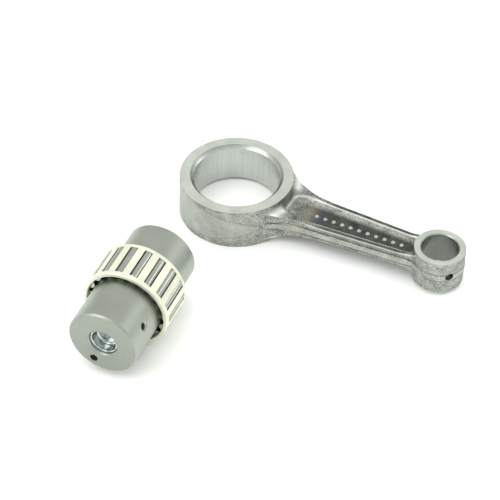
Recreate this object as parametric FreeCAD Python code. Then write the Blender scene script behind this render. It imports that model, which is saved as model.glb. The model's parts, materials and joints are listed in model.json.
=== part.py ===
import FreeCAD, Part

import math
import os

# Forged connecting rod of a single-cylinder four-stroke engine, laid flat on a bench,
# with its press-in crank pin and caged needle bearing lying beside it.
# Millimetres.  The origin is the centre of the big-end bore, X runs to the small end
# and Z is up along the bore, so the forging is symmetric about Z = 0.

# --- rod forging ------------------------------------------------------------------
CENTRE_DISTANCE = 101.0     # big-end bore axis to small-end bore axis
BIG_BORE_R = 20.0           # runs on 4 mm needles round a 32 mm crank pin
BIG_OUTER_R = 26.4
BIG_WIDTH = 21.0
BIG_BORE_CHAMFER = 1.5
SMALL_BORE_R = 8.5          # 17 mm piston pin
SMALL_OUTER_R = 11.75
SMALL_WIDTH = 16.8
SMALL_BORE_CHAMFER = 0.4
RIM_CHAMFER = 0.4

SHANK_BIG_X = 38.0          # straight flanges start here
SHANK_BIG_HALF = 10.2
SHANK_SMALL_X = 88.0        # and end here
SHANK_SMALL_HALF = 7.8
FLANGE_HALF_T = 4.0         # half thickness of the I section
BIG_RAMP_X = 48.0           # flange faces start to rise towards the big end
BIG_RAMP_END_X = 20.0
BIG_RAMP_HALF_T = 9.2
SMALL_RAMP_X = 83.0         # flange faces start to rise towards the small end
SMALL_RAMP_END_X = 93.0
SMALL_RAMP_HALF_T = 6.4
FLANGE_EDGE_R = 0.8
FILLET_SINK = 0.15          # the shank's fillets end this far inside the rings' walls

WEB_HALF_T = 1.5
POCKET_BIG_X = 27.5         # recess in each flat of the I section
POCKET_SMALL_X = 92.0
POCKET_BIG_HALF = 7.9
POCKET_SMALL_HALF = 5.0
POCKET_CORNER_R = 4.4
POCKET_WALL_RUN = 2.4       # how far the sloping wall leans in between flange top and web

PARTING_RIB_OUT = 0.35      # trimmed flash line left by the forging dies
PARTING_RIB_T = 2.4

PIP_COUNT = 11              # plain raised die marks on the upper web face
PIP_R = 1.0
PIP_H = 0.45
PIP_FIRST_X = 41.0
PIP_LAST_X = 83.0

OIL_HOLE_R = 1.75           # small-end lubrication hole
OIL_HOLE_ANGLE = -43.0      # measured from the rod axis
OIL_HOLE_SINK_R = 2.7
OIL_HOLE_SINK_DEPTH = 0.9

# --- crank pin ---------------------------------------------------------------------
PIN_R = 16.0
PIN_LENGTH = 60.5
PIN_CHAMFER = 0.7
GALLERY_R = 5.0             # oil gallery drilled right through the pin
PLUG_SEAT_R = 6.5           # counterbore at each end for a cup plug
PLUG_SEAT_DEPTH = 7.5
PLUG_SEAT_CHAMFER = 0.5
FLANK_HOLE_R = 1.5          # feeds the gallery from the crank web
FLANK_HOLE_X = -19.7
FLANK_HOLE_ANGLE = 66.0     # round the pin, measured from the top
FACE_HOLE_R = 1.8           # axial drilling near the edge of the front face
FACE_HOLE_RADIUS = 11.6
FACE_HOLE_ANGLE = 202.0
JOURNAL_HOLE_R = 1.25       # lets oil out under the needles

# --- cup plugs -----------------------------------------------------------------------
PLUG_CLEARANCE = 0.01
PLUG_RECESS = 1.2
PLUG_DEPTH = 5.6
PLUG_WALL = 1.0
PLUG_RIM_R = 0.4
PLUG_CORNER_R = 1.2         # inside corner between the cup's wall and floor

# --- cage and needles ----------------------------------------------------------------
NEEDLE_COUNT = 18
NEEDLE_R = 1.99
NEEDLE_LENGTH = 16.0
NEEDLE_EDGE = 0.35
PITCH_R = 18.0
CAGE_OUTER_R = 19.9
CAGE_INNER_R = 18.0
CAGE_WIDTH = 20.2
CAGE_CHAMFER = 0.3
WINDOW_LENGTH = 16.2
WINDOW_HALF_W = 2.08        # pocket that the needle sits in
LIP_HALF_W = 1.85           # narrower mouth that keeps the needle in
LIP_START_R = 18.85
CAGE_OFFSET = 1.8           # the cage sits a little to the rear of the pin's middle

# --- how the pin set lies on the bench -------------------------------------------------
SET_X = -5.7
SET_Y = -90.5
SET_ANGLE = 93.0            # pin axis, measured from the rod axis
BENCH_Z = -BIG_WIDTH / 2.0  # the big end lies on it, and so does the cage

V = FreeCAD.Vector
UP = V(0, 0, 1)
FORWARD = V(1, 0, 0)
CUT_MARGIN = 1.0


def polar(radius, angle, z=0.0):
    """Point at a radius and an angle in degrees about the Z axis."""
    a = math.radians(angle)
    return V(radius * math.cos(a), radius * math.sin(a), z)


def fillet_to_ring(centre_x, outer_r, point, normal):
    """Centre, end point and radius of the fillet that runs a flank line just into a ring."""
    ring_r = outer_r - FILLET_SINK
    px = point.x - centre_x
    reach = px * px + point.y * point.y
    along = px * normal.x + point.y * normal.y
    radius = (reach - ring_r * ring_r) / (2.0 * (ring_r - along))
    centre = point + normal * radius
    direction = V(centre.x - centre_x, centre.y, 0)
    direction.normalize()
    touch = V(centre_x, 0, 0) + direction * ring_r
    return centre, touch, radius


def arc_between(start, end, centre, radius):
    """Short arc from start to end about a centre."""
    middle = (start + end) * 0.5 - centre
    middle.normalize()
    return Part.Arc(start, centre + middle * radius, end).toShape()


def mirrored(point):
    """The same point on the other side of the rod axis."""
    return V(point.x, -point.y, point.z)


def shank_outline():
    """Plan view of the shank: two tapering flanks blended into both rings."""
    big = V(SHANK_BIG_X, SHANK_BIG_HALF, 0)
    small = V(SHANK_SMALL_X, SHANK_SMALL_HALF, 0)
    run = small - big
    normal = V(-run.y, run.x, 0)
    normal.normalize()
    big_centre, big_touch, big_r = fillet_to_ring(0.0, BIG_OUTER_R, big, normal)
    small_centre, small_touch, small_r = fillet_to_ring(CENTRE_DISTANCE, SMALL_OUTER_R, small, normal)
    edges = [
        arc_between(big_touch, big, big_centre, big_r),
        Part.makeLine(big, small),
        arc_between(small, small_touch, small_centre, small_r),
        Part.makeLine(small_touch, mirrored(small_touch)),
        arc_between(mirrored(small_touch), mirrored(small), mirrored(small_centre), small_r),
        Part.makeLine(mirrored(small), mirrored(big)),
        arc_between(mirrored(big), mirrored(big_touch), mirrored(big_centre), big_r),
        Part.makeLine(mirrored(big_touch), big_touch),
    ]
    return Part.Face(Part.Wire(edges))


def ramp(start_x, end_x, end_half, side):
    """Arc in the side view that leaves the flange face tangentially and rises to a ring."""
    run = end_x - start_x
    rise = end_half - FLANGE_HALF_T
    radius = (run * run + rise * rise) / (2.0 * rise)
    sweep = math.asin(abs(run) / radius) / 2.0
    mid_x = start_x + math.copysign(radius * math.sin(sweep), run)
    mid_half = FLANGE_HALF_T + radius * (1.0 - math.cos(sweep))
    points = [(start_x, FLANGE_HALF_T), (mid_x, mid_half), (end_x, end_half)]
    return [V(x, 0, side * half) for x, half in points]


def side_profile():
    """Side view of the shank: thin in the middle, rising towards both rings."""
    edges = []
    ends = {}
    for side in (1, -1):
        big = ramp(BIG_RAMP_X, BIG_RAMP_END_X, BIG_RAMP_HALF_T, side)
        small = ramp(SMALL_RAMP_X, SMALL_RAMP_END_X, SMALL_RAMP_HALF_T, side)
        small_end = V(CENTRE_DISTANCE, 0, small[2].z)
        big_end = V(0, 0, big[2].z)
        edges.append(Part.makeLine(big_end, big[2]))
        edges.append(Part.Arc(big[2], big[1], big[0]).toShape())
        edges.append(Part.makeLine(big[0], small[0]))
        edges.append(Part.Arc(small[0], small[1], small[2]).toShape())
        edges.append(Part.makeLine(small[2], small_end))
        ends[side] = (big_end, small_end)
    edges.append(Part.makeLine(ends[1][0], ends[-1][0]))
    edges.append(Part.makeLine(ends[1][1], ends[-1][1]))
    return Part.Face(Part.Wire(Part.__sortEdges__(edges)))


def shank_blank():
    """Shank before the web recesses are sunk into it, flange edges rounded."""
    plan = shank_outline()
    plan.translate(V(0, 0, BENCH_Z))
    plan = plan.extrude(V(0, 0, BIG_WIDTH))
    side = side_profile()
    side.translate(V(0, -BIG_OUTER_R, 0))
    blank = plan.common(side.extrude(V(0, 2.0 * BIG_OUTER_R, 0)))
    rounded = []
    for edge in blank.Edges:
        box = edge.BoundBox
        leaves_flange = box.XMin > BIG_RAMP_X - CUT_MARGIN and box.XMax < SMALL_RAMP_X + CUT_MARGIN
        on_flank = box.YMin > SHANK_SMALL_HALF - CUT_MARGIN or box.YMax < CUT_MARGIN - SHANK_SMALL_HALF
        if leaves_flange and on_flank and box.XLength > SHANK_SMALL_HALF:
            rounded.append(edge)
    return blank.makeFillet(FLANGE_EDGE_R, rounded)


def pocket_wire(inset, z):
    """Rounded tapering outline of the web recess at one depth."""
    x0 = POCKET_BIG_X + inset
    x1 = POCKET_SMALL_X - inset
    y0 = POCKET_BIG_HALF - inset
    y1 = POCKET_SMALL_HALF - inset
    corners = [V(x0, -y0, z), V(x1, -y1, z), V(x1, y1, z), V(x0, y0, z)]
    radius = POCKET_CORNER_R - inset
    edges = []
    arcs = []
    for i, corner in enumerate(corners):
        back = corners[i - 1] - corner
        ahead = corners[(i + 1) % len(corners)] - corner
        half = back.getAngle(ahead) / 2.0
        back.normalize()
        ahead.normalize()
        start = corner + back * (radius / math.tan(half))
        end = corner + ahead * (radius / math.tan(half))
        bisector = back + ahead
        bisector.normalize()
        middle = corner + bisector * (radius / math.sin(half) - radius)
        arcs.append((start, middle, end))
    for i, (start, middle, end) in enumerate(arcs):
        edges.append(Part.Arc(start, middle, end).toShape())
        edges.append(Part.makeLine(end, arcs[(i + 1) % len(arcs)][0]))
    return Part.Wire(edges)


def web_recess(side):
    """Cutter for one flat of the I section: sloping walls, then straight up and out."""
    floor_z = side * WEB_HALF_T
    top_z = side * FLANGE_HALF_T
    out_z = side * (BIG_WIDTH / 2.0 + CUT_MARGIN)
    floor_wire = pocket_wire(POCKET_WALL_RUN, floor_z)
    top_wire = pocket_wire(0.0, top_z)
    sloping = Part.makeLoft([floor_wire, top_wire], True, True)
    straight = Part.Face(top_wire).extrude(V(0, 0, out_z - top_z))
    return sloping.fuse(straight)


def ring(outer_r, width, centre_x):
    """Solid disc of one rod end with its two outer rims broken."""
    disc = Part.makeCylinder(outer_r, width, V(centre_x, 0, -width / 2.0), UP)
    rims = [e for e in disc.Edges if isinstance(e.Curve, Part.Circle)]
    return disc.makeChamfer(RIM_CHAMFER, rims)


def bore_cutter(bore_r, width, chamfer, centre_x):
    """Through bore with a chamfer at both mouths."""
    low = -width / 2.0
    centre = V(centre_x, 0, low - CUT_MARGIN)
    cutter = Part.makeCylinder(bore_r, width + 2.0 * CUT_MARGIN, centre, UP)
    for z, direction in ((low, UP), (low + width, -UP)):
        mouth = Part.makeCone(bore_r + chamfer, bore_r, chamfer, V(centre_x, 0, z), direction)
        cutter = cutter.fuse(mouth)
    return cutter


def parting_rib():
    """Trimmed flash line along both flanks and round the small end."""
    flank = shank_outline().makeOffset2D(PARTING_RIB_OUT)
    flank.translate(V(0, 0, -PARTING_RIB_T / 2.0))
    rib = flank.extrude(V(0, 0, PARTING_RIB_T))
    base = V(CENTRE_DISTANCE, 0, -PARTING_RIB_T / 2.0)
    return rib.fuse(Part.makeCylinder(SMALL_OUTER_R + PARTING_RIB_OUT, PARTING_RIB_T, base, UP))


def small_end_oil_hole():
    """Radial lubrication hole through the outer wall of the small end, countersunk."""
    outward = polar(1.0, OIL_HOLE_ANGLE)
    centre = V(CENTRE_DISTANCE, 0, 0)
    hole = Part.makeCylinder(OIL_HOLE_R, SMALL_OUTER_R + CUT_MARGIN, centre, outward)
    sink_from = centre + outward * (SMALL_OUTER_R + PARTING_RIB_OUT - OIL_HOLE_SINK_DEPTH)
    sink = Part.makeCone(OIL_HOLE_R, OIL_HOLE_SINK_R, OIL_HOLE_SINK_DEPTH, sink_from, outward)
    return hole.fuse(sink)


def rod_forging():
    """One-piece rod: two machined rings joined by a forged I-section shank."""
    rod = shank_blank()
    rib = parting_rib()
    for side in (1, -1):
        rod = rod.cut(web_recess(side))
        rib = rib.cut(web_recess(side))
    rod = rod.fuse(rib)
    step = (PIP_LAST_X - PIP_FIRST_X) / (PIP_COUNT - 1)
    for i in range(PIP_COUNT):
        foot = V(PIP_FIRST_X + i * step, 0, 0)
        rod = rod.fuse(Part.makeCylinder(PIP_R, WEB_HALF_T + PIP_H, foot, UP))
    rod = rod.fuse(ring(BIG_OUTER_R, BIG_WIDTH, 0.0))
    rod = rod.fuse(ring(SMALL_OUTER_R, SMALL_WIDTH, CENTRE_DISTANCE))
    rod = rod.cut(bore_cutter(BIG_BORE_R, BIG_WIDTH, BIG_BORE_CHAMFER, 0.0))
    rod = rod.cut(bore_cutter(SMALL_BORE_R, SMALL_WIDTH, SMALL_BORE_CHAMFER, CENTRE_DISTANCE))
    rod = rod.cut(small_end_oil_hole())
    return rod.removeSplitter()


def around_pin(radius, angle, x):
    """Point round the pin axis: angle in degrees from the top, towards the right."""
    a = math.radians(angle)
    return V(x, -radius * math.sin(a), radius * math.cos(a))


def crank_pin():
    """Ground crank pin with its oil gallery, plug seats and drillings, axis along X."""
    half = PIN_LENGTH / 2.0
    pin = Part.makeCylinder(PIN_R, PIN_LENGTH, V(-half, 0, 0), FORWARD)
    rims = [e for e in pin.Edges if isinstance(e.Curve, Part.Circle)]
    pin = pin.makeChamfer(PIN_CHAMFER, rims)
    pin = pin.cut(Part.makeCylinder(GALLERY_R, PIN_LENGTH, V(-half, 0, 0), FORWARD))
    for end in (-1, 1):
        face = V(end * half, 0, 0)
        inward = FORWARD * -end
        seat = Part.makeCylinder(PLUG_SEAT_R, PLUG_SEAT_DEPTH, face, inward)
        mouth_r = PLUG_SEAT_R + PLUG_SEAT_CHAMFER
        mouth = Part.makeCone(mouth_r, PLUG_SEAT_R, PLUG_SEAT_CHAMFER, face, inward)
        pin = pin.cut(seat).cut(mouth)
    flank_way = around_pin(1.0, FLANK_HOLE_ANGLE, 0.0)
    flank = Part.makeCylinder(FLANK_HOLE_R, PIN_R, V(FLANK_HOLE_X, 0, 0), flank_way)
    flank_sink = Part.makeCone(FLANK_HOLE_R, FLANK_HOLE_R * 2.0, FLANK_HOLE_R,
                               V(FLANK_HOLE_X, 0, 0) + flank_way * (PIN_R - FLANK_HOLE_R / 2.0), flank_way)
    pin = pin.cut(flank).cut(flank_sink)
    face_start = around_pin(FACE_HOLE_RADIUS, FACE_HOLE_ANGLE, -half)
    pin = pin.cut(Part.makeCylinder(FACE_HOLE_R, half + 2.0 * JOURNAL_HOLE_R, face_start, FORWARD))
    journal_way = around_pin(1.0, FACE_HOLE_ANGLE, 0.0)
    journal_start = V(0, 0, 0)
    return pin.cut(Part.makeCylinder(JOURNAL_HOLE_R, PIN_R + CUT_MARGIN, journal_start, journal_way))


def cup_plug():
    """Pressed cup plug, open outward, with a rounded rim; outer face at X = 0."""
    outer_r = PLUG_SEAT_R - PLUG_CLEARANCE
    floor_x = PLUG_DEPTH - PLUG_WALL
    hollow = Part.makeCylinder(outer_r - PLUG_WALL, PLUG_DEPTH, V(floor_x - PLUG_DEPTH, 0, 0), FORWARD)
    corner = [e for e in hollow.Edges if e.BoundBox.XMin > floor_x - CUT_MARGIN * 0.1]
    hollow = hollow.makeFillet(PLUG_CORNER_R, corner)
    plug = Part.makeCylinder(outer_r, PLUG_DEPTH, V(0, 0, 0), FORWARD).cut(hollow)
    rim = [e for e in plug.Edges if e.BoundBox.XMax < CUT_MARGIN * 0.1]
    return plug.makeFillet(PLUG_RIM_R, rim)


def bearing_cage():
    """Needle cage: a turned sleeve with a ring of lipped windows, axis along X."""
    half = CAGE_WIDTH / 2.0
    sleeve = Part.makeCylinder(CAGE_OUTER_R, CAGE_WIDTH, V(-half, 0, 0), FORWARD)
    sleeve = sleeve.cut(Part.makeCylinder(CAGE_INNER_R, CAGE_WIDTH, V(-half, 0, 0), FORWARD))
    rims = [e for e in sleeve.Edges if isinstance(e.Curve, Part.Circle)]
    sleeve = sleeve.makeChamfer(CAGE_CHAMFER, rims)
    pitch = 360.0 / NEEDLE_COUNT
    for i in range(NEEDLE_COUNT):
        corner = V(-WINDOW_LENGTH / 2.0, -WINDOW_HALF_W, CAGE_INNER_R - CUT_MARGIN)
        seat = Part.makeBox(WINDOW_LENGTH, 2.0 * WINDOW_HALF_W, LIP_START_R - corner.z, corner)
        corner = V(-WINDOW_LENGTH / 2.0, -LIP_HALF_W, CAGE_INNER_R)
        lip = Part.makeBox(WINDOW_LENGTH, 2.0 * LIP_HALF_W, CAGE_OUTER_R - CAGE_INNER_R + CUT_MARGIN, corner)
        window = seat.fuse(lip)
        window.rotate(V(0, 0, 0), FORWARD, (i + 0.5) * pitch)
        sleeve = sleeve.cut(window)
    return sleeve


def needle():
    """One needle roller with broken ends, axis along X at the origin."""
    roller = Part.makeCylinder(NEEDLE_R, NEEDLE_LENGTH, V(-NEEDLE_LENGTH / 2.0, 0, 0), FORWARD)
    rims = [e for e in roller.Edges if isinstance(e.Curve, Part.Circle)]
    return roller.makeFillet(NEEDLE_EDGE, rims)


def lay_on_bench(shape):
    """Move a piece of the pin set from its own axis to where the set lies."""
    shape.rotate(V(0, 0, 0), UP, SET_ANGLE)
    shape.translate(V(SET_X, SET_Y, BENCH_Z + CAGE_OUTER_R))
    return shape


def rear_facing(shape):
    """Turn a piece end for end about the vertical through the pin's middle."""
    shape.rotate(V(0, 0, 0), UP, 180.0)
    return shape


def build():
    """Make every piece in place."""
    pieces = {"rod_forging": rod_forging()}
    pieces["crank_pin"] = lay_on_bench(crank_pin())
    seat_x = -PIN_LENGTH / 2.0 + PLUG_RECESS
    front = cup_plug()
    front.translate(V(seat_x, 0, 0))
    rear = rear_facing(front.copy())
    pieces["pin_plug_front"] = lay_on_bench(front)
    pieces["pin_plug_rear"] = lay_on_bench(rear)
    cage = bearing_cage()
    cage.translate(V(CAGE_OFFSET, 0, 0))
    pieces["bearing_cage"] = lay_on_bench(cage)
    for i in range(NEEDLE_COUNT):
        roller = needle()
        angle = (i + 0.5) * 360.0 / NEEDLE_COUNT
        roller.translate(around_pin(PITCH_R, angle, CAGE_OFFSET))
        pieces["needle_%02d" % (i + 1)] = lay_on_bench(roller)
    return pieces


os.makedirs("parts", exist_ok=True)
for name, shape in build().items():
    shape.exportStep("parts/%s.step" % name)
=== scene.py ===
import json
import math

import bpy
import numpy as np
from mathutils import Matrix, Vector, noise


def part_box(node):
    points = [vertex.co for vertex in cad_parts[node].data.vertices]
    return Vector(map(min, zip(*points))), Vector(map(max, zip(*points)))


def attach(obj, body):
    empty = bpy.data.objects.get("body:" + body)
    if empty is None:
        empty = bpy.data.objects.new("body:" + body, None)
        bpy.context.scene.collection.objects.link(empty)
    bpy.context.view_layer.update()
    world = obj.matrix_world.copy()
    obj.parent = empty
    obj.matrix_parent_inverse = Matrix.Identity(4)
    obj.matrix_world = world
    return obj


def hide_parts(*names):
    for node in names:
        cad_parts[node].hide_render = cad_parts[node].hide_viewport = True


# Looks of the forged connecting rod and its crank pin set.  The rod is drawn as three
# pieces that stand for the CAD forging: the shank, the big-end ring and the small-end
# ring.  Shapes are worked out in millimetres and written in metres.

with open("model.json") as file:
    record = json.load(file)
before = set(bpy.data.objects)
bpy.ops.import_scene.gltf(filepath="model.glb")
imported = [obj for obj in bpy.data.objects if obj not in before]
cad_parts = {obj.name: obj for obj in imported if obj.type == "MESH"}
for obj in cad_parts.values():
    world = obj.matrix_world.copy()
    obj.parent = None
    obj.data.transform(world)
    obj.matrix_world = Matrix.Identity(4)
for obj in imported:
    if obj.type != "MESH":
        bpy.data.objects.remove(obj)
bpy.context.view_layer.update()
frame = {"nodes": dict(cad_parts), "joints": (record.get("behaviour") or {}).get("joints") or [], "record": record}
MM = 0.001
TOUCH = 0.05                    # slack of tests for points that lie on a cylinder


def mount(name):
    """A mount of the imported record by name."""
    return next(m for m in frame["record"]["mounts"] if m["name"] == name)


# --- sizes taken from the frame, in millimetres --------------------------------------
ROD_LOW, ROD_HIGH = (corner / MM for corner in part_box("rod_forging"))
BIG_BORE_R = mount("big_end_bore")["dims"]["r_mm"]
SMALL_BORE_R = mount("small_end_bore")["dims"]["r_mm"]
SMALL_X = mount("small_end_bore")["pos_m"][0] / MM
BIG_OUTER_R = ROD_HIGH.y
BIG_HALF = ROD_HIGH.z
BENCH_Z = ROD_LOW.z
RIB_OUT = 0.35                  # how far the parting rib stands out of the flanks
RIB_HALF = 1.2
RIB_SOFT = 0.3                  # height over which the rib's sides fall away
GROOVE_DEPTH = 0.25             # shallow groove above and below the rib
SMALL_RIB = 0.6                 # share of the rib's height left round the small end
SMALL_OUTER_R = ROD_HIGH.x - SMALL_X - RIB_OUT
RIM_CHAMFER = 0.12
BIG_BORE_CHAMFER = BIG_HALF - mount("big_end_bore")["dims"]["length_mm"] / 2.0
SMALL_BORE_CHAMFER = 0.4
SMALL_HALF = mount("small_end_bore")["dims"]["length_mm"] / 2.0 + SMALL_BORE_CHAMFER

# --- shank -----------------------------------------------------------------------------
FLANK_BIG = (38.0, 10.2)        # where the straight flanks start and end: x, half width
FLANK_SMALL = (88.0, 7.8)
SHANK_SINK = 0.15               # how far the shank's ends go into the ring walls
FLANGE_HALF_T = 4.0
BIG_RAMP = (48.0, 20.0, 9.2)    # start, end and end height of the rise to each ring
SMALL_RAMP = (83.0, 93.0, 6.4)
WEB_HALF_T = 1.5
POCKET_X = (27.5, 92.0)
POCKET_HALF = (7.9, 5.0)
POCKET_CORNER_R = 4.4
POCKET_WALL_RUN = 2.4
POCKET_END_SLOPE = 0.6          # the recess rises more gently at its big end
POCKET_WALL_RISE = 2.0          # slope of the recess wall above the flange height
FLOOR_SOFT = 0.7                # rounding at the foot of the recess wall
RECESS_EDGE_SOFT = 0.45         # rounding at its top
FLANGE_EDGE_R = 0.9
RING_FILLET = (1.3, 0.9)        # concave blend onto the big and the small ring
GROOVE = (0.6, 0.36)            # the groove's place beyond the rib, and its width
RIB_GROWS = (1.0, 6.0)          # the rib grows out of the big ring over this stretch
PIP_XS = [41.0 + 4.2 * i for i in range(11)]
PIP_R = 1.0
PIP_SOFT = (0.75, 1.15)         # shares of its radius between which a pip falls away
PIP_H = 0.45

# Finish of the shank: dark scale, bright worn pips, and painted highlights along edges and on the land, each from
# 0 to 1.
WEB_DARK_FROM = 0.5             # distance inside the recess at which its floor darkens
WEB_DARK_X = (30.0, 46.0)
FLANGE_DARK = 0.88
FLANGE_DARK_EDGE = (-0.5, 0.3)
FLANGE_DARK_X = (40.0, 50.0, 84.0, 92.0)
PIP_BARE = 0.7
PIP_WORN = 0.5
RECESS_HIGHLIGHT = (0.9, -0.1, 0.28)     # strength, place and width of the painted highlight round the recess
RECESS_HIGHLIGHT_X = (26.0, 28.5)
FLANGE_HIGHLIGHT = (0.55, 0.35, 0.25)    # the same for the painted highlight along the flanges' outer edges
FLANGE_HIGHLIGHT_X = (34.0, 42.0)
LAND_HIGHLIGHT = (28.8, 1.7)              # painted highlight on the land at the foot of the big ring: radius, spread
LAND_HIGHLIGHT_DEG = (11.0, 18.0, 28.0, 40.0)
RIB_TRIMMED = 0.25

SHANK_ROWS = 325
ROW_CURVE_X = (38.0, 80.0)      # cross sections are straight between these
TOP_COLUMNS = 96
COLUMN_CROWDING = 1.15          # crowds the columns toward the flanges' edges
FLANK_COLUMNS = 56
CALM_ENDS = 0.03                # share of the length that stays unhammered at each end

# --- ring walls ------------------------------------------------------------------------
BIG_GRID = (540, 60)            # steps round the ring, rows down its outer wall
SMALL_GRID = (400, 110)
BORE_ROWS = 10
FACE_STEPS = (0.0, 0.04, 0.25, 0.5, 0.75, 1.0)
EDGE_LINE = 0.6                 # darkening along the corner of each bore chamfer
BELT_FULL = 10.2                # half height of the turned belt opposite the shank
BELT_GONE_DEG = 142.0           # turn from there at which the belt has narrowed away
BELT_POWER = 2.6
BELT_WANDER = (9.0, 0.25)       # how quickly and how far the belt's edge wanders
BELT_SHADE = 0.42
BELT_LINE = (0.5, 0.15, 0.22)   # strength, place and width of the dark line at its edge
BELT_LINE_STOPS = 0.6           # the line ends this far from the ring's faces
BELT_DULL = 0.34                # how far each finish lies from turned (0) to as forged (1)
BIG_SKIN = 0.85
SKIN_EDGE = (-0.1, 0.35)
SKIN_DROP = 0.05                # the forged skin lies this much below the belt
BIG_DRAFT = 0.01
SMALL_SKIN = 0.95
SMALL_DRAFT = 0.005
SMALL_GROOVE = (0.5, 0.25)
SMALL_GROOVE_DEPTH = 0.8        # share of the shank's groove depth
# painted shade in the small end's groove
SMALL_GROOVE_SHADE = 0.7
SMALL_RIB_TRIMMED = 0.15
# painted shade inside the small bore
SMALL_BORE_SHADE = 0.34
HAMMERED_FROM = (0.5, 0.7)      # skins between which the die texture sets in
RING_HAMMER = 0.8
OIL_HOLE_R = 1.75
OIL_HOLE_SINK_R = 2.7
OIL_HOLE_ANGLE = math.radians(-43.0)
DRILL_STEPS = 40
DRILL_PAST_BORE = 3.0
BORE_SLACK = 0.5                # the hole's wall is looked for from this far inside the bore
DRILL_PAST_WALL = 1.0

# Die texture: size and height of each layer of dents.
HAMMER_LAYERS = ((7.0, 0.090), (2.1, 0.045), (0.9, 0.040))
SHANK_SHARP_DEG = 60.0
RING_SHARP_DEG = 24.0


# --- mesh helpers ----------------------------------------------------------------------
def smoothstep(low, high, value):
    """0 below low, 1 above high, smooth in between."""
    t = np.clip((value - low) / (high - low), 0.0, 1.0)
    return t * t * (3.0 - 2.0 * t)


def smooth_min(a, b, soft):
    """The smaller of two heights, with the crease between them rounded."""
    h = np.clip(0.5 + 0.5 * (b - a) / soft, 0.0, 1.0)
    return b + (a - b) * h - soft * h * (1.0 - h)


def smooth_max(a, b, soft):
    """The larger of two heights, with the crease between them rounded."""
    return -smooth_min(-a, -b, soft)


def plateau(value, edges):
    """0 outside four edges, 1 between the inner two, smooth in between."""
    return smoothstep(edges[0], edges[1], value) * (1.0 - smoothstep(edges[2], edges[3], value))


def line_at(value, place, width):
    """1 on a line and falling away smoothly to both sides of it."""
    return np.exp(-((value - place) / width) ** 2)


def loop_faces(rows, columns, closed_rows):
    """Quads of a grid whose columns close on themselves, and its rows if asked."""
    index = np.arange(rows * columns).reshape(rows, columns)
    ahead = np.roll(index, -1, axis=1)
    if closed_rows:
        below, below_ahead = np.roll(index, -1, axis=0), np.roll(ahead, -1, axis=0)
    else:
        below, below_ahead = index[1:], ahead[1:]
        index, ahead = index[:-1], ahead[:-1]
    return np.stack([index, ahead, below_ahead, below], axis=-1).reshape(-1, 4)


def make_piece(name, points, faces, origin=(0.0, 0.0, 0.0)):
    """Mesh object from points and faces in millimetres, its origin at a given point."""
    mesh = bpy.data.meshes.new(name)
    local = (np.asarray(points, float).reshape(-1, 3) - np.array(origin)) * MM
    mesh.from_pydata(local.tolist(), [], [list(f) for f in faces])
    mesh.validate()
    piece = bpy.data.objects.new(name, mesh)
    bpy.context.scene.collection.objects.link(piece)
    piece.location = Vector(origin) * MM
    return piece


def face_outward(piece):
    """Turn the faces of a closed mesh outward."""
    volume = 0.0
    mesh = piece.data
    for polygon in mesh.polygons:
        volume += polygon.center.dot(polygon.normal) * polygon.area
    if volume < 0.0:
        mesh.flip_normals()


def store(piece, name, values):
    """Per-vertex number that the materials read."""
    attribute = piece.data.attributes.new(name, "FLOAT", "POINT")
    attribute.data.foreach_set("value", np.asarray(values, np.float32).ravel())


def shade(piece, sharp_deg):
    """Smooth shading with the edges above an angle kept sharp."""
    piece.data.shade_smooth()
    piece.data.set_sharp_from_angle(angle=math.radians(sharp_deg))


def hammer(piece, amount, strength=1.0):
    """Die texture: push every vertex along its normal by layered noise, in millimetres."""
    mesh = piece.data
    count = len(mesh.vertices)
    normals = np.zeros(count * 3)
    places = np.zeros(count * 3)
    mesh.vertices.foreach_get("normal", normals)
    mesh.vertices.foreach_get("co", places)
    places = places.reshape(-1, 3)
    normals = normals.reshape(-1, 3)
    amount = np.asarray(amount, float).ravel()
    for i in np.nonzero(amount > 0.01)[0]:
        place = (Vector(places[i]) + piece.location) / MM
        push = sum(noise.noise(place / size) * height for size, height in HAMMER_LAYERS)
        places[i] += normals[i] * (push * strength * amount[i] * MM)
    mesh.vertices.foreach_set("co", places.ravel())
    mesh.update()


# --- shank -----------------------------------------------------------------------------
def fillet_to_ring(centre_x, outer_r, point, normal):
    """Centre, end point and radius of the fillet that runs a flank into a ring."""
    ring_r = outer_r - SHANK_SINK
    px, py = point[0] - centre_x, point[1]
    along = px * normal[0] + py * normal[1]
    radius = (px * px + py * py - ring_r * ring_r) / (2.0 * (ring_r - along))
    centre = (point[0] + normal[0] * radius, point[1] + normal[1] * radius)
    reach = math.hypot(centre[0] - centre_x, centre[1])
    touch_x = centre_x + (centre[0] - centre_x) / reach * ring_r
    return centre, touch_x, radius


def flank_fillets():
    """The fillets at both ends of the straight flank."""
    run = (FLANK_SMALL[0] - FLANK_BIG[0], FLANK_SMALL[1] - FLANK_BIG[1])
    length = math.hypot(*run)
    normal = (-run[1] / length, run[0] / length)
    big = fillet_to_ring(0.0, BIG_OUTER_R, FLANK_BIG, normal)
    small = fillet_to_ring(SMALL_X, SMALL_OUTER_R, FLANK_SMALL, normal)
    return big, small


def half_width(x, big, small):
    """Half width of the shank in plan."""
    straight = np.interp(x, [FLANK_BIG[0], FLANK_SMALL[0]], [FLANK_BIG[1], FLANK_SMALL[1]])

    def on_fillet(fillet):
        centre, _, radius = fillet
        return centre[1] - np.sqrt(np.maximum(radius * radius - (x - centre[0]) ** 2, 0.0))

    width = np.where(x > FLANK_SMALL[0], on_fillet(small), straight)
    return np.where(x < FLANK_BIG[0], on_fillet(big), width)


def ramp_height(x, ramp):
    """Flange height on an arc that rises from the flange face to a ring."""
    start, end, top = ramp
    rise = top - FLANGE_HALF_T
    radius = ((end - start) ** 2 + rise * rise) / (2.0 * rise)
    run = np.clip((x - start) * math.copysign(1.0, end - start), 0.0, abs(end - start))
    return FLANGE_HALF_T + radius - np.sqrt(radius * radius - run * run)


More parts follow.
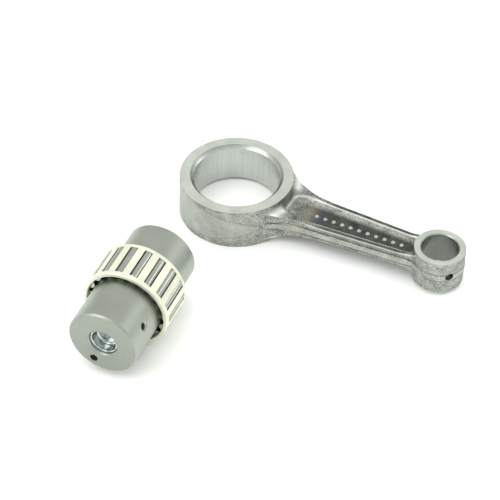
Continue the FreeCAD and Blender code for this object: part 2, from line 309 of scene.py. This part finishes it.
def inside_pocket(x, y):
    """How far a point lies inside the edge of the web recess."""
    share = (x - POCKET_X[0]) / (POCKET_X[1] - POCKET_X[0])
    side = POCKET_HALF[0] + share * (POCKET_HALF[1] - POCKET_HALF[0]) - np.abs(y)
    end = np.minimum((x - POCKET_X[0]) * POCKET_END_SLOPE, POCKET_X[1] - x)
    corner = np.hypot(np.maximum(POCKET_CORNER_R - side, 0.0),
                      np.maximum(POCKET_CORNER_R - end, 0.0))
    return np.where(corner > 0.0, POCKET_CORNER_R - corner, np.minimum(side, end))


def ring_blend(x, y, centre_x, outer_r, radius):
    """Extra height of the concave blend against a ring wall."""
    out = np.clip(np.hypot(x - centre_x, y) - outer_r, 0.0, radius)
    return radius - np.sqrt(radius * radius - (radius - out) ** 2)


def pip_cover(x, y):
    """1 on each of the raised pips of the recess floor, 0 between them."""
    cover = np.zeros_like(x)
    for pip_x in PIP_XS:
        away = np.hypot(x - pip_x, y)
        cover = cover + 1.0 - smoothstep(PIP_R * PIP_SOFT[0], PIP_R * PIP_SOFT[1], away)
    return cover


def shank_height(x, y, pips):
    """Height of the shank's upper face above the middle plane."""
    base = np.maximum(ramp_height(x, BIG_RAMP), ramp_height(x, SMALL_RAMP))
    inside = inside_pocket(x, y)
    drop = (FLANGE_HALF_T - WEB_HALF_T) / POCKET_WALL_RUN
    wall = FLANGE_HALF_T - np.where(inside > 0.0, drop * inside, POCKET_WALL_RISE * inside)
    recess = smooth_max(wall, np.full_like(wall, WEB_HALF_T), FLOOR_SOFT)
    height = smooth_min(base, recess, RECESS_EDGE_SOFT)
    height = height + ring_blend(x, y, 0.0, BIG_OUTER_R, RING_FILLET[0])
    height = height + ring_blend(x, y, SMALL_X, SMALL_OUTER_R, RING_FILLET[1])
    return height + PIP_H * pips


def shank_finish(x, y, edge_distance, pips):
    """How dark with scale the shank's upper face is, and how bright from worn pips and painted highlights."""
    inside = inside_pocket(x, y)
    flange = (1.0 - smoothstep(*FLANGE_DARK_EDGE, inside)) * plateau(x, FLANGE_DARK_X)
    web = smoothstep(WEB_DARK_FROM, POCKET_WALL_RUN, inside) * smoothstep(*WEB_DARK_X, x)
    dark = np.maximum(web * (1.0 - PIP_BARE * pips), FLANGE_DARK * flange)
    # Painted highlights along the recess's edge, on the land at the big ring and along the flanges' outer edges;
    # the pips are bright from wear.
    strength, place, width = RECESS_HIGHLIGHT
    highlight_and_wear = strength * line_at(inside, place, width) * smoothstep(*RECESS_HIGHLIGHT_X, x)
    highlight_and_wear = highlight_and_wear + PIP_WORN * pips
    land_highlight = plateau(np.degrees(np.arctan2(np.abs(y), x)), LAND_HIGHLIGHT_DEG)
    highlight_and_wear = np.maximum(highlight_and_wear, land_highlight * line_at(np.hypot(x, y), *LAND_HIGHLIGHT))
    strength, place, width = FLANGE_HIGHLIGHT
    highlight_and_wear = highlight_and_wear + strength * line_at(edge_distance, place, width) * smoothstep(*FLANGE_HIGHLIGHT_X, x)
    return dark, highlight_and_wear


def shank_plan(along, width, start, stop):
    """Plan places of the shank's upper face, and the half width at each of them."""
    across = np.linspace(-1.0, 1.0, TOP_COLUMNS)
    across = np.sign(across) * (1.0 - (1.0 - np.abs(across)) ** COLUMN_CROWDING)
    x = np.repeat(along[:, None], TOP_COLUMNS, axis=1)
    half = np.repeat(width[:, None], TOP_COLUMNS, axis=1)
    y = across[None, :] * half
    # Toward each ring the rows bend until they run round it.
    bend_big = 1.0 - smoothstep(start, ROW_CURVE_X[0], x)
    bend_small = smoothstep(ROW_CURVE_X[1], stop, x)
    reach_big = np.hypot(x, half)
    reach_small = np.hypot(SMALL_X - x, half)
    bent = x + bend_big * (np.sqrt(reach_big ** 2 - y * y) - x)
    bent = bent - bend_small * (np.sqrt(reach_small ** 2 - y * y) - (SMALL_X - x))
    return bent, y, half


def shank_flank(along, width, start, top, low):
    """Points of one flank, how much of each is rib, and how much is groove."""
    down = np.linspace(1.0, -1.0, FLANK_COLUMNS + 2)[1:-1]
    middle = top[:, :1] * 0.5 - low[:, :1] * 0.5
    tall = top[:, :1] * 0.5 + low[:, :1] * 0.5
    z = middle + tall * down[None, :]
    grown = smoothstep(start + RIB_GROWS[0], start + RIB_GROWS[1], along)[:, None]
    rib = 1.0 - smoothstep(RIB_HALF, RIB_HALF + RIB_SOFT, np.abs(z))
    groove = line_at(np.abs(z) - RIB_HALF, *GROOVE)
    out = width[:, None] + (RIB_OUT * rib - GROOVE_DEPTH * groove) * grown
    x = np.repeat(along[:, None], FLANK_COLUMNS, axis=1)
    return (x, out, z), rib * grown, groove * grown


def make_shank():
    """Forged I-section shank as one grid of cross sections."""
    big, small = flank_fillets()
    start, stop = big[1], small[1]
    share = np.linspace(0.0, 1.0, SHANK_ROWS)
    along = start + (stop - start) * share
    width = half_width(along, big, small)
    x, y, half = shank_plan(along, width, start, stop)
    edge_distance = half - np.abs(y)
    near_edge = np.clip(edge_distance, 0.0, FLANGE_EDGE_R)
    edge_drop = FLANGE_EDGE_R - np.sqrt(FLANGE_EDGE_R ** 2 - (FLANGE_EDGE_R - near_edge) ** 2)

    # The pips are on the upper face only.
    limit = BIG_HALF - RIM_CHAMFER
    pips, no_pips = pip_cover(x, y), np.zeros_like(x)
    top = np.minimum(shank_height(x, y, pips) - edge_drop, limit)
    low = np.minimum(shank_height(x, y, no_pips) - edge_drop, limit)
    dark_top, highlight_and_wear_top = shank_finish(x, y, edge_distance, pips)
    dark_low, highlight_and_wear_low = shank_finish(x, y, edge_distance, no_pips)
    (flank_x, out, flank_z), rib, groove = shank_flank(along, width, start, top, low)

    # Each cross section runs over the top, down one flank, back under and up the other.
    upper = np.stack([x, y, top], axis=-1)
    right = np.stack([flank_x, out, flank_z], axis=-1)
    lower = np.stack([x, y, -low], axis=-1)[:, ::-1]
    left = np.stack([flank_x, -out, flank_z], axis=-1)[:, ::-1]
    points = np.concatenate([upper, right, lower, left], axis=1)
    no_highlight_or_wear, skin = np.zeros_like(flank_z), np.ones_like(top)
    trimmed = 1.0 - RIB_TRIMMED * rib
    # Scale on the top and bottom faces; painted shade in the flanks' grooves.
    recess = np.concatenate([dark_top, groove, dark_low[:, ::-1], groove[:, ::-1]], axis=1)
    # Painted highlights and worn pips on the top and bottom faces, none on the flanks.
    highlight_and_wear = np.concatenate([highlight_and_wear_top, no_highlight_or_wear, highlight_and_wear_low[:, ::-1], no_highlight_or_wear], axis=1)
    forged = np.concatenate([skin, trimmed, skin, trimmed[:, ::-1]], axis=1)

    rows, columns = points.shape[:2]
    faces = loop_faces(rows, columns, False).tolist()
    faces.append(list(range(columns))[::-1])
    faces.append(list(range((rows - 1) * columns, rows * columns)))
    piece = make_piece("rod_shank", points, faces)
    face_outward(piece)
    store(piece, "recess", recess)
    store(piece, "forged", forged)
    store(piece, "highlight_and_wear", highlight_and_wear)
    ends = smoothstep(0.0, CALM_ENDS, share) * smoothstep(0.0, CALM_ENDS, 1.0 - share)
    hammer(piece, forged * ends[:, None])
    shade(piece, SHANK_SHARP_DEG)
    return piece


# --- rings -----------------------------------------------------------------------------
def ring_points(bore_r, half, chamfer, outer, grid, bore_shade):
    """Points of a closed ring, how forged each is and how dark; outer gives the outer wall."""
    ring_steps, wall_rows = grid
    angles = np.linspace(0.0, 2.0 * math.pi, ring_steps, endpoint=False)
    wall_top = half - RIM_CHAMFER
    radii, heights, skins, darks = [], [], [], []

    def add(radius, z, skin=0.0, dark=0.0):
        for column, value in ((radii, radius), (heights, z), (skins, skin), (darks, dark)):
            column.append(np.broadcast_to(value, ring_steps))

    def flat_face(z, outward):
        edge = outer(angles, math.copysign(wall_top, z))[0] - RIM_CHAMFER
        for t in FACE_STEPS if outward else FACE_STEPS[::-1]:
            add((bore_r + chamfer) * (1.0 - t) + edge * t, z, 0.0, EDGE_LINE * (t == 0.0))

    # Bore rows, with painted shade where asked.
    for z in np.linspace(-(half - chamfer), half - chamfer, BORE_ROWS):
        add(bore_r, z, 0.0, bore_shade)
    flat_face(half, True)
    for z in np.linspace(wall_top, -wall_top, wall_rows):
        wall_r, skin, dark = outer(angles, z)
        add(wall_r, z, skin, dark)
    flat_face(-half, False)
    r, z = np.stack(radii, axis=1), np.stack(heights, axis=1)
    x = r * np.cos(angles)[:, None]
    y = r * np.sin(angles)[:, None]
    return np.stack([x, y, z], axis=-1), np.stack(skins, axis=1), np.stack(darks, axis=1)


def big_wall(angles, z):
    """Radius of the big end's outer wall, how forged it is, and how dark."""
    turn = np.abs((angles + math.pi) % (2.0 * math.pi) - math.pi)
    from_back = (180.0 - np.degrees(turn)) / BELT_GONE_DEG
    belt = BELT_FULL * (1.0 - np.clip(from_back, 0.0, 1.0) ** BELT_POWER)
    quick, far = BELT_WANDER
    places = [Vector((math.cos(a) * quick, math.sin(a) * quick, np.sign(z))) for a in angles]
    wander = np.array([noise.noise(place) for place in places])
    belt = np.maximum(belt + wander * far, RIB_HALF)
    past = abs(z) - belt
    rough = smoothstep(*SKIN_EDGE, past)
    strength, place, width = BELT_LINE
    line = strength * line_at(past, place, width) * (belt < BIG_HALF - RIM_CHAMFER - BELT_LINE_STOPS)
    radius = BIG_OUTER_R - np.maximum(past, 0.0) * BIG_DRAFT - SKIN_DROP * rough
    # The turned belt gets painted shade, and a dark line along its edge.
    return radius, BELT_DULL + (BIG_SKIN - BELT_DULL) * rough, BELT_SHADE * (1.0 - rough) + line


def small_wall(angles, z):
    """Radius of the small end's outer wall, with the trimmed rib, how forged, and the painted shade in its groove.
    """
    rib = 1.0 - smoothstep(RIB_HALF, RIB_HALF + RIB_SOFT, abs(z))
    groove = line_at(abs(z) - RIB_HALF, *SMALL_GROOVE)
    radius = SMALL_OUTER_R + RIB_OUT * SMALL_RIB * rib - abs(z) * SMALL_DRAFT
    radius = radius - groove * GROOVE_DEPTH * SMALL_GROOVE_DEPTH
    skin = SMALL_SKIN - SMALL_RIB_TRIMMED * rib
    return tuple(np.full_like(angles, value) for value in (radius, skin, SMALL_GROOVE_SHADE * groove))


def make_ring(name, centre_x, bore_r, half, chamfer, outer, grid, bore_shade):
    """One rod end: turned faces and bore, outer wall part turned and part forged."""
    points, skin, dark = ring_points(bore_r, half, chamfer, outer, grid, bore_shade)
    centre = (centre_x, 0.0, 0.0)
    rows, columns = points.shape[:2]
    piece = make_piece(name, points + np.array(centre), loop_faces(rows, columns, True), centre)
    face_outward(piece)
    store(piece, "forged", skin)
    store(piece, "recess", dark)
    store(piece, "honed", np.hypot(points[..., 0], points[..., 1]) < bore_r + TOUCH)
    hammer(piece, smoothstep(*HAMMERED_FROM, skin), RING_HAMMER)
    shade(piece, RING_SHARP_DEG)
    return piece


def make_drill(outward):
    """Closed body of the oil hole with its countersink, pointing outward from the bore."""
    sink_from = SMALL_OUTER_R + RIB_OUT * SMALL_RIB - (OIL_HOLE_SINK_R - OIL_HOLE_R)
    sink_to = sink_from + OIL_HOLE_SINK_R - OIL_HOLE_R + DRILL_PAST_WALL
    profile = [(OIL_HOLE_R, SMALL_BORE_R - DRILL_PAST_BORE), (OIL_HOLE_R, sink_from),
               (OIL_HOLE_SINK_R + DRILL_PAST_WALL, sink_to)]
    turns = [2.0 * math.pi * i / DRILL_STEPS for i in range(DRILL_STEPS)]
    points = [(r * math.cos(turn), r * math.sin(turn), z) for r, z in profile for turn in turns]
    faces = loop_faces(len(profile), DRILL_STEPS, False).tolist()
    faces.append(list(range(DRILL_STEPS))[::-1])
    faces.append(list(range(len(points) - DRILL_STEPS, len(points))))
    drill = make_piece("oil_hole_drill", points, faces)
    face_outward(drill)
    drill.rotation_mode = "QUATERNION"
    drill.rotation_quaternion = outward.to_track_quat("Z", "Y")
    return drill


def drill_oil_hole(piece):
    """Cut the countersunk lubrication hole through the small end's wall, with painted shade inside."""
    outward = Vector((math.cos(OIL_HOLE_ANGLE), math.sin(OIL_HOLE_ANGLE), 0.0))
    drill = make_drill(outward)
    drill.location = piece.location
    cut = piece.modifiers.new("oil_hole", "BOOLEAN")
    cut.object = drill
    cut.operation = "DIFFERENCE"
    cut.solver = "EXACT"
    bpy.context.view_layer.update()
    shown = bpy.context.evaluated_depsgraph_get()
    drilled = bpy.data.meshes.new_from_object(piece.evaluated_get(shown))
    piece.modifiers.clear()
    piece.data = drilled
    bpy.data.objects.remove(drill)

    places = np.zeros(len(drilled.vertices) * 3)
    drilled.vertices.foreach_get("co", places)
    places = places.reshape(-1, 3) / MM
    along = places @ np.array(outward)
    off_axis = np.linalg.norm(places - along[:, None] * np.array(outward), axis=1)
    in_hole = (off_axis < OIL_HOLE_R + TOUCH) & (along > SMALL_BORE_R - BORE_SLACK)
    # Painted shade inside the hole: it takes the forged colour at full scale darkness.
    for name in ("forged", "recess"):
        data = drilled.attributes[name].data
        values = np.zeros(len(places), np.float32)
        data.foreach_get("value", values)
        data.foreach_set("value", np.where(in_hole, 1.0, values).astype(np.float32))
    shade(piece, RING_SHARP_DEG)


# --- materials -------------------------------------------------------------------------
class Nodes:
    """Small helper that builds one node material."""

    def __init__(self, name):
        self.material = bpy.data.materials.new(name)
        self.material.use_nodes = True
        self.tree = self.material.node_tree
        self.bsdf = self.tree.nodes["Principled BSDF"]
        self.place = self.add("ShaderNodeTexCoord").outputs["Object"]

    def add(self, kind, inputs=None, **settings):
        node = self.tree.nodes.new(kind)
        for key, value in settings.items():
            setattr(node, key, value)
        for key, value in (inputs or {}).items():
            if isinstance(value, bpy.types.NodeSocket):
                self.tree.links.new(value, node.inputs[key])
            else:
                node.inputs[key].default_value = value
        return node

    def math(self, operation, *values):
        node = self.add("ShaderNodeMath", dict(enumerate(values)), operation=operation)
        return node.outputs[0]

    def weigh(self, a, share_a, b, share_b):
        """Sum of two values, each times its share."""
        return self.math("ADD", self.math("MULTIPLY", a, share_a), self.math("MULTIPLY", b, share_b))

    def axes(self):
        """The three coordinates of the surface."""
        return self.add("ShaderNodeSeparateXYZ", {"Vector": self.place}).outputs

    def noise(self, size_mm, detail=2.0, vector=None, rough=0.5):
        """Noise whose largest grains have about the given size."""
        inputs = {"Scale": 1.0 / (size_mm * MM), "Detail": detail, "Roughness": rough}
        inputs["Vector"] = vector or self.place
        return self.add("ShaderNodeTexNoise", inputs).outputs["Fac"]

    def mapped(self, value, low, high, to_low, to_high):
        node = self.add("ShaderNodeMapRange", {"Value": value, "From Min": low, "From Max": high,
                                               "To Min": to_low, "To Max": to_high})
        return node.outputs["Result"]

    def ramp(self, value, stops):
        node = self.add("ShaderNodeValToRGB", {"Fac": value})
        elements = node.color_ramp.elements
        while len(elements) < len(stops):
            elements.new(0.5)
        for element, (position, colour) in zip(elements, stops):
            element.position = position
            element.color = (*colour, 1.0)
        return node.outputs["Color"]

    def blend(self, share, a, b, mode="MIX"):
        node = self.add("ShaderNodeMix", data_type="RGBA", blend_type=mode)
        for index, value in ((0, share), (6, a), (7, b)):
            if isinstance(value, bpy.types.NodeSocket):
                self.tree.links.new(value, node.inputs[index])
            else:
                node.inputs[index].default_value = value
        return node.outputs[2]

    def attribute(self, name):
        return self.add("ShaderNodeAttribute", attribute_name=name).outputs["Fac"]

    def bump(self, height, depth_mm, under=None):
        inputs = {"Height": height, "Distance": depth_mm * MM, "Strength": 1.0}
        if under is not None:
            inputs["Normal"] = under
        return self.add("ShaderNodeBump", inputs).outputs["Normal"]

    def radius(self, x, y):
        """Distance from the Z axis."""
        squares = self.math("ADD", self.math("MULTIPLY", x, x), self.math("MULTIPLY", y, y))
        return self.math("SQRT", squares)

    def lay(self, pitch_mm, drift, detail=2.0):
        """Tool marks: noise that runs in rings about the Z axis, changing slowly round it."""
        x, y, z = self.axes()
        r = self.radius(x, y)
        away = self.math("MAXIMUM", r, MM)
        around = self.math("MULTIPLY", self.math("DIVIDE", x, away), drift)
        sideways = self.math("MULTIPLY", self.math("DIVIDE", y, away), drift)
        per_pitch = 1.0 / (pitch_mm * MM)
        vector = self.add("ShaderNodeCombineXYZ", {
            "X": self.math("ADD", self.math("MULTIPLY", r, per_pitch), around),
            "Y": self.math("ADD", self.math("MULTIPLY", z, per_pitch), sideways),
            "Z": sideways})
        inputs = {"Vector": vector.outputs[0], "Scale": 1.0, "Detail": detail}
        return self.add("ShaderNodeTexNoise", inputs).outputs["Fac"]

    def finish(self, colour, roughness, normal, metallic=1.0):
        for key, value in (("Base Color", colour), ("Roughness", roughness), ("Normal", normal)):
            self.tree.links.new(value, self.bsdf.inputs[key])
        self.bsdf.inputs["Metallic"].default_value = metallic
        return self.material


# Colours of the rod, by noise level: turned, bored, forged, and the scale in the recess, which also paints shade
# in the grooves and the oil hole.
TURNED = [(0.32, (0.54, 0.575, 0.51)), (0.68, (0.74, 0.78, 0.705))]
BORED = [(0.3, (0.49, 0.52, 0.485)), (0.7, (0.56, 0.59, 0.555))]
FORGED = [(0.37, (0.09, 0.097, 0.087)), (0.5, (0.28, 0.295, 0.27)), (0.63, (0.53, 0.55, 0.51))]
SCALE = [(0.3, (0.030, 0.033, 0.028)), (0.7, (0.105, 0.112, 0.098))]
# Painted shade on the machined faces, on the big end's turned belt and in the small bore; also the dark lines
# along the belt's edge and the bore chamfers.
DARKENED_MACHINED = (0.15, 0.165, 0.15, 1.0)
# Tone of the painted highlights along edges and on the land, and of the worn pips.
WEAR_AND_HIGHLIGHT_TONE = (0.92, 0.94, 0.88, 1.0)
# Heat tint along the shank, from bare by the big end through straw and brown to grey.
HEAT_TINT = [(0.0, (0.52, 0.53, 0.48)), (0.3, (0.52, 0.48, 0.34)), (0.46, (0.33, 0.20, 0.08)),
             (0.6, (0.11, 0.12, 0.15)), (0.75, (0.10, 0.105, 0.095))]
TINT_X = (28.0, 50.0)
TINT_SHOWS_X = (27.0, 29.0)
TINT_FADES_X = (44.0, 54.0)
TINT_SHARE = 0.75
TINT_WANDER = 9.0


def turned_colour(m, clouds, marks, recess):
    """Colour of the machined faces: rings of tool marks outside, upright strokes in the bores."""
    turned = m.ramp(m.weigh(clouds, 0.6, marks, 0.4), TURNED)
    stroke_at = m.add("ShaderNodeVectorMath", {0: m.place, 1: (1.0, 1.0, 0.04)}, operation="MULTIPLY")
    bored = m.ramp(m.noise(1.3, 2.0, stroke_at.outputs[0]), BORED)
    # Darkened by the recess attribute: painted shade on the belt and in the small bore, and dark edge lines.
    return m.blend(recess, m.blend(m.attribute("honed"), turned, bored), DARKENED_MACHINED)


def forged_colour(m, grains, recess):
    """Colour of the forged skin: scale in the recess, painted shade in the grooves and oil hole, a heat tint at
    one end, painted highlights and worn pips.
    """
    patches = m.noise(4.5, 3.0)
    skin = m.ramp(m.weigh(grains, 0.7, patches, 0.3), FORGED)
    scale = m.ramp(m.noise(3.0, 4.0), SCALE)
    # Dark scale in the recess; the same blend paints shade in the grooves and inside the oil hole.
    skin = m.blend(m.mapped(recess, 0.3, 1.0, 0.0, 0.87), skin, scale)
    x = m.axes()[0]
    wander = m.math("MULTIPLY", m.math("SUBTRACT", patches, 0.5), TINT_WANDER * MM)
    start, end = TINT_X
    tint = m.ramp(m.mapped(m.math("ADD", x, wander), start * MM, end * MM, 0.0, 1.0), HEAT_TINT)
    start, end = TINT_SHOWS_X
    shows = m.mapped(x, start * MM, end * MM, 0.0, 1.0)
    start, end = TINT_FADES_X
    shows = m.math("MULTIPLY", shows, m.mapped(x, start * MM, end * MM, TINT_SHARE, 0.0))
    skin = m.blend(m.math("MULTIPLY", shows, recess), skin, tint)
    # Painted highlights along edges and on the land, and bright worn pips.
    return m.blend(m.math("MULTIPLY", m.attribute("highlight_and_wear"), 0.95), skin, WEAR_AND_HIGHLIGHT_TONE)


def rod_steel():
    """Turned bright steel where the rod is machined, dark die-textured steel elsewhere."""
    m = Nodes("rod_steel")
    forged = m.attribute("forged")
    machined = m.math("SUBTRACT", 1.0, forged)
    recess = m.attribute("recess")
    marks = m.lay(0.16, 2.0)
    clouds = m.noise(9.0, 3.0)
    grains = m.noise(0.55, 4.0, rough=0.65)
    colour = m.blend(forged, turned_colour(m, clouds, marks, recess), forged_colour(m, grains, recess))
    turned_rough = m.mapped(m.weigh(clouds, 1.0, marks, 0.5), 0.4, 1.1, 0.33, 0.48)
    turned_rough = m.weigh(turned_rough, 1.0, m.attribute("honed"), -0.15)
    skin_rough = m.mapped(grains, 0.3, 0.7, 0.55, 0.36)
    roughness = m.weigh(turned_rough, machined, skin_rough, forged)
    lay = m.bump(m.math("MULTIPLY", marks, machined), 0.004)
    depth = m.math("MULTIPLY", forged, m.mapped(recess, 0.0, 1.0, 1.0, 0.55))
    return m.finish(colour, roughness, m.bump(m.math("MULTIPLY", grains, depth), 0.2, lay))


def along_pin(m, node):
    """Coordinates whose Z runs along the crank pin's axis, centred on a piece of the set."""
    low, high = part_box(node)
    centre = (low + high) / 2.0
    joint = next(j for j in frame["joints"] if j["name"] == "pin_spin")
    turn = Vector(joint["axis"]).rotation_difference(Vector((0.0, 0.0, 1.0))).to_euler()
    moved = m.add("ShaderNodeVectorMath", {0: m.place, 1: -centre}, operation="ADD").outputs[0]
    turned = m.add("ShaderNodeVectorRotate", {"Vector": moved, "Rotation": turn}, rotation_type="EULER_XYZ")
    return turned.outputs[0]


# Colours of the pin set, dark and light end of each ramp.
PIN_TONES = ((0.335, 0.363, 0.32), (0.43, 0.46, 0.405))
NEEDLE_TONES = ((0.33, 0.355, 0.32), (0.50, 0.535, 0.485))
ZINC = [(0.38, (0.26, 0.295, 0.29)), (0.62, (0.76, 0.82, 0.80))]
SILVER = [(0.3, (0.72, 0.73, 0.58)), (0.7, (0.84, 0.85, 0.72))]
# Painted shade on the pin's end faces.
SHADED_FACE_STEEL = (0.15, 0.16, 0.145, 1.0)
# Painted shade inside the cage's windows beside the needles.
SHADED_SILVER = (0.12, 0.115, 0.09, 1.0)
PIN_FACE_Z = (30.1, 30.2)       # distances from the pin's middle just short of its end faces
CAGE_INSIDE_R = (19.45, 19.8)
CAGE_BARS_Z = (8.08, 8.14)      # the cage's end rings start past this distance


def ground_steel(name, tones, rough_range, pitch_mm):
    """Ground steel of the pin set: fine marks round its axis over slow tone changes, and painted shade on the
    pin's end faces.
    """
    m = Nodes(name)
    m.place = along_pin(m, "crank_pin")
    marks = m.lay(pitch_mm, 1.5, 3.0)
    clouds = m.noise(11.0, 3.0)
    specks = m.noise(0.5, 2.0)
    dark, light = tones
    ground = m.ramp(m.weigh(clouds, 0.55, marks, 0.45), [(0.3, dark), (0.7, light)])
    # Painted shade on the pin's end faces.
    start, end = PIN_FACE_Z
    face_shade = m.mapped(m.math("ABSOLUTE", m.axes()[2]), start * MM, end * MM, 0.0, 0.3)
    colour = m.blend(face_shade, ground, SHADED_FACE_STEEL)
    roughness = m.mapped(m.weigh(clouds, 1.0, specks, 0.4), 0.4, 1.0, *rough_range)
    return m.finish(colour, roughness, m.bump(marks, 0.004, m.bump(specks, 0.004)))


def zinc_plate():
    """Bright zinc plate of the cup plugs, with faint drawing marks."""
    m = Nodes("zinc_plate")
    m.place = along_pin(m, "crank_pin")
    drawn = m.lay(0.5, 3.0)
    clouds = m.noise(3.2, 1.5)
    colour = m.ramp(m.weigh(clouds, 0.6, drawn, 0.4), ZINC)
    roughness = m.mapped(clouds, 0.3, 0.7, 0.12, 0.26)
    return m.finish(colour, roughness, m.bump(clouds, 0.012, m.bump(drawn, 0.01)))


def silver_plate():
    """Soft cream silver plate of the bearing cage, with painted shade inside its windows beside the needles."""
    m = Nodes("silver_plate")
    m.place = along_pin(m, "bearing_cage")
    bloom = m.noise(0.35, 2.0)
    plate = m.ramp(m.weigh(m.noise(6.0, 4.0), 0.7, bloom, 0.3), SILVER)
    x, y, z = m.axes()
    start, end = CAGE_INSIDE_R
    inside = m.mapped(m.radius(x, y), start * MM, end * MM, 1.0, 0.0)
    start, end = CAGE_BARS_Z
    between_ends = m.mapped(m.math("ABSOLUTE", z), start * MM, end * MM, 1.0, 0.0)
    # Painted shade on the cage's inner faces and window sides between its end rings.
    window_shade = m.math("MULTIPLY", m.math("MULTIPLY", inside, between_ends), 0.85)
    roughness = m.mapped(bloom, 0.3, 0.7, 0.42, 0.6)
    normal = m.bump(bloom, 0.008, m.bump(m.lay(0.3, 2.0), 0.004))
    return m.finish(m.blend(window_shade, plate, SHADED_SILVER), roughness, normal, 0.7)


def pale_bench():
    """White bench top with a barely visible tooth."""
    m = Nodes("pale_bench")
    tooth = m.noise(1.5, 2.0)
    colour = m.ramp(m.noise(60.0, 2.0), [(0.3, (0.90, 0.91, 0.90)), (0.7, (0.94, 0.95, 0.94))])
    return m.finish(colour, m.mapped(tooth, 0.3, 0.7, 0.75, 0.85), m.bump(tooth, 0.01), 0.0)


def wear(piece, material):
    """Give a piece its material."""
    piece.data.materials.clear()
    piece.data.materials.append(material)


# --- the rod ---------------------------------------------------------------------------
shank = make_shank()
big_ring = make_ring("rod_big_end", 0.0, BIG_BORE_R, BIG_HALF, BIG_BORE_CHAMFER,
                     big_wall, BIG_GRID, 0.0)
small_ring = make_ring("rod_small_end", SMALL_X, SMALL_BORE_R, SMALL_HALF, SMALL_BORE_CHAMFER,
                       small_wall, SMALL_GRID, SMALL_BORE_SHADE)
drill_oil_hole(small_ring)
forged_steel = rod_steel()
for rod_piece in (shank, big_ring, small_ring):
    wear(rod_piece, forged_steel)
    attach(rod_piece, "rod")
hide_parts("rod_forging")

# --- the pin set -----------------------------------------------------------------------
pin_steel = ground_steel("ground_steel", PIN_TONES, (0.36, 0.50), 0.12)
needle_steel = ground_steel("bearing_steel", NEEDLE_TONES, (0.10, 0.2), 0.2)
plug_zinc = zinc_plate()
cage_silver = silver_plate()
for node_name, node in frame["nodes"].items():
    if node_name == "crank_pin":
        wear(node, pin_steel)
    elif node_name.startswith("pin_plug"):
        wear(node, plug_zinc)
    elif node_name == "bearing_cage":
        wear(node, cage_silver)
    elif node_name.startswith("needle"):
        wear(node, needle_steel)

# --- floor, light and camera -----------------------------------------------------------
FLOOR_SIZE = 3.0
FLOOR_CENTRE = (0.04, -0.03)
MIDDLE = Vector((0.04, -0.045, 0.0))
WARM_WHITE = (1.0, 1.0, 0.98)
WHITE = (1.0, 1.0, 1.0)
TENT_LOW = (0.78, 0.79, 0.78, 1.0)      # the light tent at the horizon and high up
TENT_HIGH = (0.98, 0.98, 0.97, 1.0)
TENT_HIGH_FROM = 0.8
CAMERA_TARGET = Vector((0.0226, -0.0324, 0.0))
CAMERA_AZIMUTH = math.radians(24.5)
CAMERA_ELEVATION = math.radians(43.9)
CAMERA_ROLL = math.radians(1.79)
CAMERA_DISTANCE = 0.8803
CAMERA_LENS = 140.8


def lay_bench():
    """Plain pale floor under everything."""
    bpy.ops.mesh.primitive_plane_add(size=FLOOR_SIZE, location=(*FLOOR_CENTRE, BENCH_Z * MM))
    bench = bpy.context.object
    bench.name = "bench"
    bench.data.materials.append(pale_bench())


def soft_light(name, place, size, watts, colour, mirrored):
    """Square area light aimed at the parts; only a mirrored one shows in the metal."""
    light = bpy.data.lights.new(name, "AREA")
    light.size = size
    light.energy = watts
    light.color = colour
    holder = bpy.data.objects.new(name, light)
    holder.location = place
    holder.rotation_mode = "QUATERNION"
    holder.rotation_quaternion = (MIDDLE - Vector(place)).to_track_quat("-Z", "Y")
    holder.visible_glossy = mirrored
    bpy.context.scene.collection.objects.link(holder)


def light_tent():
    """White surroundings, a little darker toward the horizon."""
    world = bpy.data.worlds.new("light_tent")
    world.use_nodes = True
    bpy.context.scene.world = world
    sky = world.node_tree
    direction = sky.nodes.new("ShaderNodeTexCoord")
    split = sky.nodes.new("ShaderNodeSeparateXYZ")
    tent = sky.nodes.new("ShaderNodeValToRGB")
    sky.links.new(direction.outputs["Generated"], split.inputs[0])
    sky.links.new(split.outputs[2], tent.inputs["Fac"])
    sky.links.new(tent.outputs["Color"], sky.nodes["Background"].inputs["Color"])
    low_stop, high_stop = tent.color_ramp.elements
    low_stop.position, low_stop.color = 0.0, TENT_LOW
    high_stop.position, high_stop.color = TENT_HIGH_FROM, TENT_HIGH


def place_camera():
    """Camera that looks at the parts from the front right and above."""
    back = Vector((math.sin(CAMERA_AZIMUTH) * math.cos(CAMERA_ELEVATION),
                   -math.cos(CAMERA_AZIMUTH) * math.cos(CAMERA_ELEVATION),
                   math.sin(CAMERA_ELEVATION)))
    data = bpy.data.cameras.new("camera")
    data.lens = CAMERA_LENS
    camera = bpy.data.objects.new("camera", data)
    camera.location = CAMERA_TARGET + back * CAMERA_DISTANCE
    camera.rotation_mode = "QUATERNION"
    roll = Matrix.Rotation(CAMERA_ROLL, 3, back).to_quaternion()
    camera.rotation_quaternion = roll @ (-back).to_track_quat("-Z", "Y")
    bpy.context.scene.collection.objects.link(camera)
    bpy.context.scene.camera = camera


lay_bench()
soft_light("top_softbox", (0.05, 0.1, 0.9), 1.6, 9.0, WARM_WHITE, False)
soft_light("right_softbox", (0.66, 0.56, 0.44), 0.35, 0.5, WHITE, True)
soft_light("front_softbox", (-0.36, -0.60, 0.60), 0.55, 2.3, WHITE, True)
light_tent()
place_camera()
bpy.context.scene.view_settings.view_transform = "Standard"
